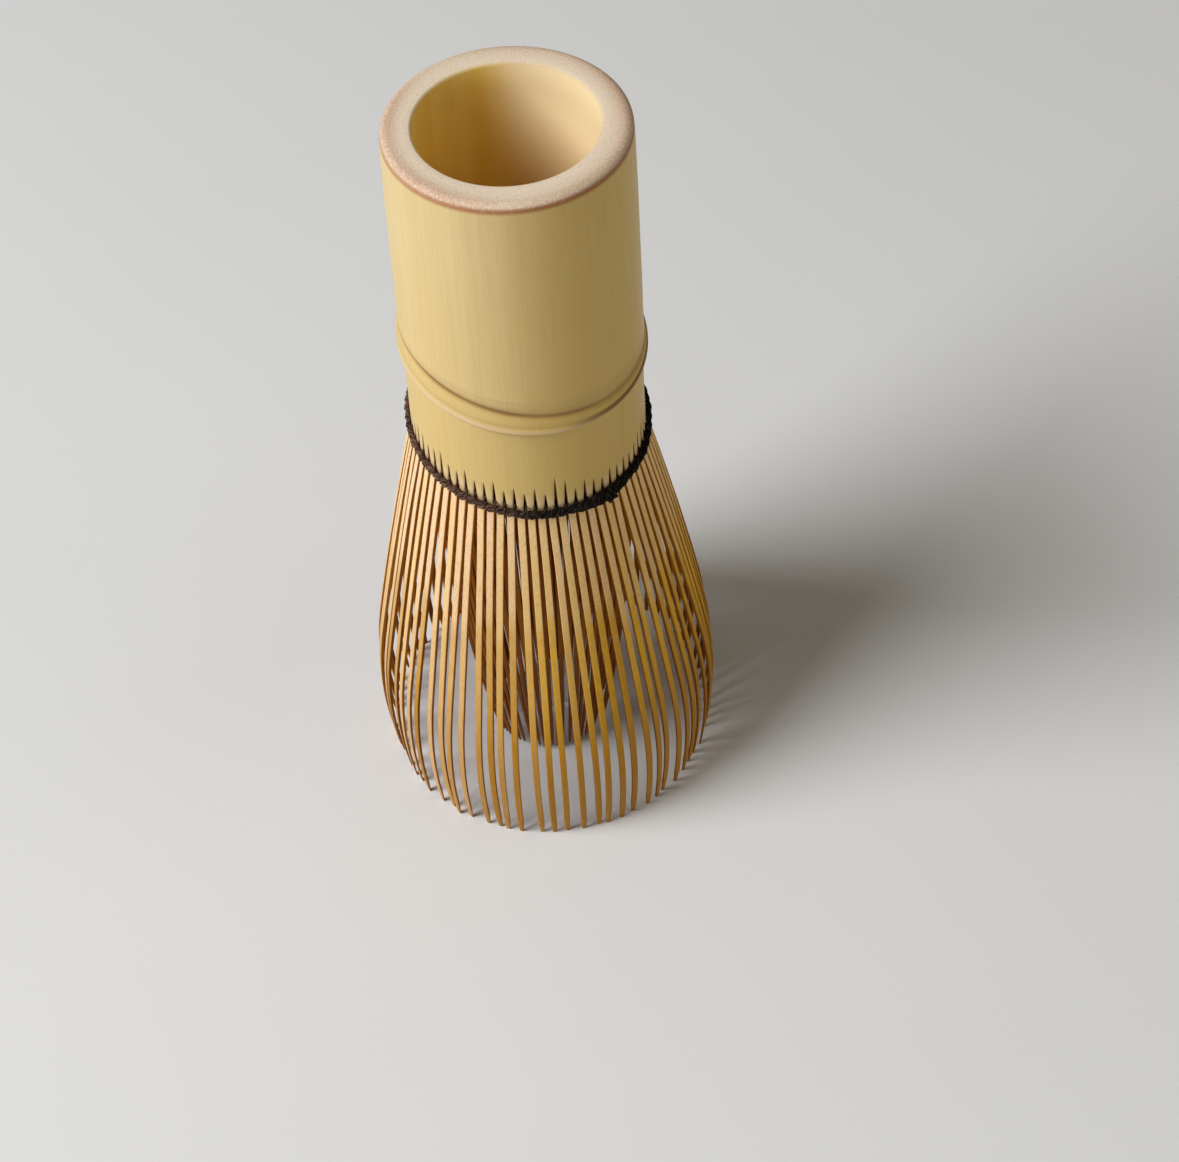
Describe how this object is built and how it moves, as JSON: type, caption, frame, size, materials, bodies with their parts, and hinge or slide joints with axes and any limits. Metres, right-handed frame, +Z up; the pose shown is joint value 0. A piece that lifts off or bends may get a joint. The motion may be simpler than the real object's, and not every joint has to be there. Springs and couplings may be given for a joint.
{
  "type": "bamboo tea whisk",
  "caption": "Standing bamboo tea whisk: hollow handle with a node ring, black thread binding, and flared split tines that flex.",
  "frame": {"origin": "centre of the ring of outer tine tips, on the surface that the whisk stands on", "axes": "+Z up the handle, out of its open cut end; -Y is the front, on the right of which the thread's knot lies"},
  "size_m": [0.0481, 0.0481, 0.11],
  "materials": {
    "bamboo_culm": "satin",
    "bamboo_outer_tines": "satin",
    "bamboo_inner_tines": "satin",
    "cotton_thread": "matte"
  },
  "bodies": {
    "whisk_body": {"culm_handle": "bamboo_culm", "thread_outer_row": "cotton_thread", "thread_inner_row": "cotton_thread", "thread_loops": "cotton_thread", "thread_knot": "cotton_thread"},
    "outer_stave_01": {"outer_tines_01": "bamboo_outer_tines"},
    "outer_stave_02": {"outer_tines_02": "bamboo_outer_tines"},
    "outer_stave_03": {"outer_tines_03": "bamboo_outer_tines"},
    "outer_stave_04": {"outer_tines_04": "bamboo_outer_tines"},
    "outer_stave_05": {"outer_tines_05": "bamboo_outer_tines"},
    "outer_stave_06": {"outer_tines_06": "bamboo_outer_tines"},
    "outer_stave_07": {"outer_tines_07": "bamboo_outer_tines"},
    "outer_stave_08": {"outer_tines_08": "bamboo_outer_tines"},
    "outer_stave_09": {"outer_tines_09": "bamboo_outer_tines"},
    "outer_stave_10": {"outer_tines_10": "bamboo_outer_tines"},
    "outer_stave_11": {"outer_tines_11": "bamboo_outer_tines"},
    "outer_stave_12": {"outer_tines_12": "bamboo_outer_tines"},
    "outer_stave_13": {"outer_tines_13": "bamboo_outer_tines"},
    "outer_stave_14": {"outer_tines_14": "bamboo_outer_tines"},
    "outer_stave_15": {"outer_tines_15": "bamboo_outer_tines"},
    "outer_stave_16": {"outer_tines_16": "bamboo_outer_tines"},
    "outer_stave_17": {"outer_tines_17": "bamboo_outer_tines"},
    "outer_stave_18": {"outer_tines_18": "bamboo_outer_tines"},
    "inner_stave_01": {"inner_tines_01": "bamboo_inner_tines"},
    "inner_stave_02": {"inner_tines_02": "bamboo_inner_tines"},
    "inner_stave_03": {"inner_tines_03": "bamboo_inner_tines"},
    "inner_stave_04": {"inner_tines_04": "bamboo_inner_tines"},
    "inner_stave_05": {"inner_tines_05": "bamboo_inner_tines"},
    "inner_stave_06": {"inner_tines_06": "bamboo_inner_tines"},
    "inner_stave_07": {"inner_tines_07": "bamboo_inner_tines"},
    "inner_stave_08": {"inner_tines_08": "bamboo_inner_tines"},
    "inner_stave_09": {"inner_tines_09": "bamboo_inner_tines"}
  },
  "joints": [
    {"name": "outer_flex_01", "type": "hinge", "parent": "whisk_body", "child": "outer_stave_01", "pos_m": [0.01467, 0.00259, 0.05949], "axis": [0.1736, -0.9848, 0], "range_deg": [-2.5, 7], "stiffness_Nm_per_rad": 0.0133},
    {"name": "outer_flex_02", "type": "hinge", "parent": "whisk_body", "child": "outer_stave_02", "pos_m": [0.0129, 0.00745, 0.06055], "axis": [0.5, -0.866, 0], "range_deg": [-2.5, 7], "stiffness_Nm_per_rad": 0.0133},
    {"name": "outer_flex_03", "type": "hinge", "parent": "whisk_body", "child": "outer_stave_03", "pos_m": [0.00958, 0.01141, 0.06161], "axis": [0.766, -0.6428, 0], "range_deg": [-2.5, 7], "stiffness_Nm_per_rad": 0.0133},
    {"name": "outer_flex_04", "type": "hinge", "parent": "whisk_body", "child": "outer_stave_04", "pos_m": [0.0051, 0.014, 0.06253], "axis": [0.9397, -0.342, 0], "range_deg": [-2.5, 7], "stiffness_Nm_per_rad": 0.0133},
    {"name": "outer_flex_05", "type": "hinge", "parent": "whisk_body", "child": "outer_stave_05", "pos_m": [0, 0.0149, 0.06321], "axis": [1, 0, 0], "range_deg": [-2.5, 7], "stiffness_Nm_per_rad": 0.0133},
    {"name": "outer_flex_06", "type": "hinge", "parent": "whisk_body", "child": "outer_stave_06", "pos_m": [-0.0051, 0.014, 0.06356], "axis": [0.9397, 0.342, 0], "range_deg": [-2.5, 7], "stiffness_Nm_per_rad": 0.0133},
    {"name": "outer_flex_07", "type": "hinge", "parent": "whisk_body", "child": "outer_stave_07", "pos_m": [-0.00958, 0.01141, 0.06354], "axis": [0.766, 0.6428, 0], "range_deg": [-2.5, 7], "stiffness_Nm_per_rad": 0.0133},
    {"name": "outer_flex_08", "type": "hinge", "parent": "whisk_body", "child": "outer_stave_08", "pos_m": [-0.0129, 0.00745, 0.06316], "axis": [0.5, 0.866, 0], "range_deg": [-2.5, 7], "stiffness_Nm_per_rad": 0.0133},
    {"name": "outer_flex_09", "type": "hinge", "parent": "whisk_body", "child": "outer_stave_09", "pos_m": [-0.01467, 0.00259, 0.06245], "axis": [0.1736, 0.9848, 0], "range_deg": [-2.5, 7], "stiffness_Nm_per_rad": 0.0133},
    {"name": "outer_flex_10", "type": "hinge", "parent": "whisk_body", "child": "outer_stave_10", "pos_m": [-0.01467, -0.00259, 0.06151], "axis": [-0.1736, 0.9848, 0], "range_deg": [-2.5, 7], "stiffness_Nm_per_rad": 0.0133},
    {"name": "outer_flex_11", "type": "hinge", "parent": "whisk_body", "child": "outer_stave_11", "pos_m": [-0.0129, -0.00745, 0.06045], "axis": [-0.5, 0.866, 0], "range_deg": [-2.5, 7], "stiffness_Nm_per_rad": 0.0133},
    {"name": "outer_flex_12", "type": "hinge", "parent": "whisk_body", "child": "outer_stave_12", "pos_m": [-0.00958, -0.01141, 0.05939], "axis": [-0.766, 0.6428, 0], "range_deg": [-2.5, 7], "stiffness_Nm_per_rad": 0.0133},
    {"name": "outer_flex_13", "type": "hinge", "parent": "whisk_body", "child": "outer_stave_13", "pos_m": [-0.0051, -0.014, 0.05847], "axis": [-0.9397, 0.342, 0], "range_deg": [-2.5, 7], "stiffness_Nm_per_rad": 0.0133},
    {"name": "outer_flex_14", "type": "hinge", "parent": "whisk_body", "child": "outer_stave_14", "pos_m": [0, -0.0149, 0.05779], "axis": [-1, 0, 0], "range_deg": [-2.5, 7], "stiffness_Nm_per_rad": 0.0133},
    {"name": "outer_flex_15", "type": "hinge", "parent": "whisk_body", "child": "outer_stave_15", "pos_m": [0.0051, -0.014, 0.05744], "axis": [-0.9397, -0.342, 0], "range_deg": [-2.5, 7], "stiffness_Nm_per_rad": 0.0133},
    {"name": "outer_flex_16", "type": "hinge", "parent": "whisk_body", "child": "outer_stave_16", "pos_m": [0.00958, -0.01141, 0.05746], "axis": [-0.766, -0.6428, 0], "range_deg": [-2.5, 7], "stiffness_Nm_per_rad": 0.0133},
    {"name": "outer_flex_17", "type": "hinge", "parent": "whisk_body", "child": "outer_stave_17", "pos_m": [0.0129, -0.00745, 0.05784], "axis": [-0.5, -0.866, 0], "range_deg": [-2.5, 7], "stiffness_Nm_per_rad": 0.0133},
    {"name": "outer_flex_18", "type": "hinge", "parent": "whisk_body", "child": "outer_stave_18", "pos_m": [0.01467, -0.00259, 0.05855], "axis": [-0.1736, -0.9848, 0], "range_deg": [-2.5, 7], "stiffness_Nm_per_rad": 0.0133},
    {"name": "inner_flex_01", "type": "hinge", "parent": "whisk_body", "child": "inner_stave_01", "pos_m": [0.0127, 0.00526, 0.06015], "axis": [0.3827, -0.9239, 0], "range_deg": [-0.75, 5], "stiffness_Nm_per_rad": 0.0135},
    {"name": "inner_flex_02", "type": "hinge", "parent": "whisk_body", "child": "inner_stave_02", "pos_m": [0.00635, 0.0122, 0.06221], "axis": [0.887, -0.4617, 0], "range_deg": [-0.75, 5], "stiffness_Nm_per_rad": 0.0135},
    {"name": "inner_flex_03", "type": "hinge", "parent": "whisk_body", "child": "inner_stave_03", "pos_m": [-0.00298, 0.01342, 0.06347], "axis": [0.9763, 0.2164, 0], "range_deg": [-0.75, 5], "stiffness_Nm_per_rad": 0.0135},
    {"name": "inner_flex_04", "type": "hinge", "parent": "whisk_body", "child": "inner_stave_04", "pos_m": [-0.01091, 0.00837, 0.06334], "axis": [0.6088, 0.7934, 0], "range_deg": [-0.75, 5], "stiffness_Nm_per_rad": 0.0135},
    {"name": "inner_flex_05", "type": "hinge", "parent": "whisk_body", "child": "inner_stave_05", "pos_m": [-0.01374, -0.0006, 0.06188], "axis": [-0.0436, 0.999, 0], "range_deg": [-0.75, 5], "stiffness_Nm_per_rad": 0.0135},
    {"name": "inner_flex_06", "type": "hinge", "parent": "whisk_body", "child": "inner_stave_06", "pos_m": [-0.01014, -0.00929, 0.05978], "axis": [-0.6756, 0.7373, 0], "range_deg": [-0.75, 5], "stiffness_Nm_per_rad": 0.0135},
    {"name": "inner_flex_07", "type": "hinge", "parent": "whisk_body", "child": "inner_stave_07", "pos_m": [-0.00179, -0.01363, 0.05801], "axis": [-0.9914, 0.1305, 0], "range_deg": [-0.75, 5], "stiffness_Nm_per_rad": 0.0135},
    {"name": "inner_flex_08", "type": "hinge", "parent": "whisk_body", "child": "inner_stave_08", "pos_m": [0.00739, -0.0116, 0.05741], "axis": [-0.8434, -0.5373, 0], "range_deg": [-0.75, 5], "stiffness_Nm_per_rad": 0.0135},
    {"name": "inner_flex_09", "type": "hinge", "parent": "whisk_body", "child": "inner_stave_09", "pos_m": [0.01311, -0.00413, 0.05825], "axis": [-0.3007, -0.9537, 0], "range_deg": [-0.75, 5], "stiffness_Nm_per_rad": 0.0135}
  ]
}
